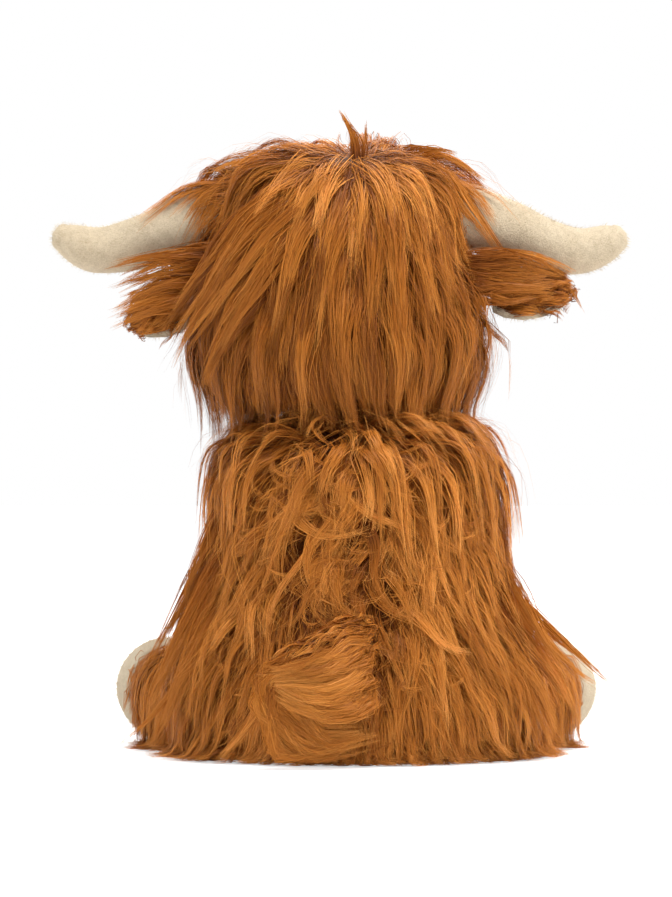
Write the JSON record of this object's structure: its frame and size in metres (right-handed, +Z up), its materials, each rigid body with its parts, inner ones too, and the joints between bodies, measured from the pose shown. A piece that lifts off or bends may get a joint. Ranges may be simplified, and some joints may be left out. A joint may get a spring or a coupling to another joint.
{
  "type": "plush cow",
  "caption": "Seated long-haired plush cow with a nodding head, drooping ears, swinging legs and a curled tail, on a flat pellet-filled seat.",
  "frame": {"origin": "on the floor, in the middle of the flat seat", "axes": "+Z up, the cow faces -Y, +X to the cow's left"},
  "size_m": [0.266, 0.2289, 0.284],
  "materials": {
    "fur": "long shaggy faux fur, orange-brown",
    "cream_plush": "short-pile cream plush",
    "stuffing": "polyester fibre filling",
    "pouch": "woven cotton bag filled with plastic pellets",
    "thread": "satin-stitched embroidery",
    "eye": "polished",
    "washer": "moulded"
  },
  "bodies": {
    "torso": {"body_skin": "fur", "body_stuffing": "stuffing", "pellet_pouch": "pouch"},
    "head": {"head_skin": "fur", "head_stuffing": "stuffing", "muzzle": "cream_plush", "nostril_left": "thread", "nostril_right": "thread", "eye_left": "eye", "eye_right": "eye", "eye_washer_left": "washer", "eye_washer_right": "washer", "horn_left": "cream_plush", "horn_right": "cream_plush", "horn_filling_left": "stuffing", "horn_filling_right": "stuffing"},
    "left_ear": {"ear_left": "fur", "ear_lining_left": "cream_plush"},
    "right_ear": {"ear_right": "fur", "ear_lining_right": "cream_plush"},
    "left_front_leg": {"front_leg_left": "fur", "front_hoof_left": "cream_plush", "front_leg_filling_left": "stuffing"},
    "right_front_leg": {"front_leg_right": "fur", "front_hoof_right": "cream_plush", "front_leg_filling_right": "stuffing"},
    "left_hind_leg": {"hind_leg_left": "fur", "hind_hoof_left": "cream_plush", "hind_leg_filling_left": "stuffing"},
    "right_hind_leg": {"hind_leg_right": "fur", "hind_hoof_right": "cream_plush", "hind_leg_filling_right": "stuffing"},
    "tail": {"tail": "fur"}
  },
  "joints": [
    {"name": "neck_nod", "type": "hinge", "parent": "torso", "child": "head", "pos_m": [0, -0.006, 0.15], "axis": [1, 0, 0], "range_deg": [-8, 8]},
    {"name": "left_ear_flap", "type": "hinge", "parent": "head", "child": "left_ear", "pos_m": [0.07831, -0.00193, 0.2155], "axis": [-0.3103, 0.7065, -0.6361], "range_deg": [-21, 14]},
    {"name": "right_ear_flap", "type": "hinge", "parent": "head", "child": "right_ear", "pos_m": [-0.06231, -0.00193, 0.2155], "axis": [-0.035, -0.7427, 0.6687], "range_deg": [0, 35]},
    {"name": "left_shoulder", "type": "hinge", "parent": "torso", "child": "left_front_leg", "pos_m": [0.03651, -0.06715, 0.112], "axis": [-1, 0, 0], "range_deg": [0, 45]},
    {"name": "right_shoulder", "type": "hinge", "parent": "torso", "child": "right_front_leg", "pos_m": [-0.03651, -0.06715, 0.112], "axis": [-1, 0, 0], "range_deg": [0, 45]},
    {"name": "left_hip", "type": "hinge", "parent": "torso", "child": "left_hind_leg", "pos_m": [0.08018, -0.05559, 0.0265], "axis": [0, 0, 1], "range_deg": [-8, 15]},
    {"name": "right_hip", "type": "hinge", "parent": "torso", "child": "right_hind_leg", "pos_m": [-0.08018, -0.05559, 0.0265], "axis": [0, 0, -1], "range_deg": [-8, 15]},
    {"name": "tail_lift", "type": "hinge", "parent": "torso", "child": "tail", "pos_m": [0, 0.07798, 0.058], "axis": [1, 0, 0], "range_deg": [0, 50]}
  ]
}
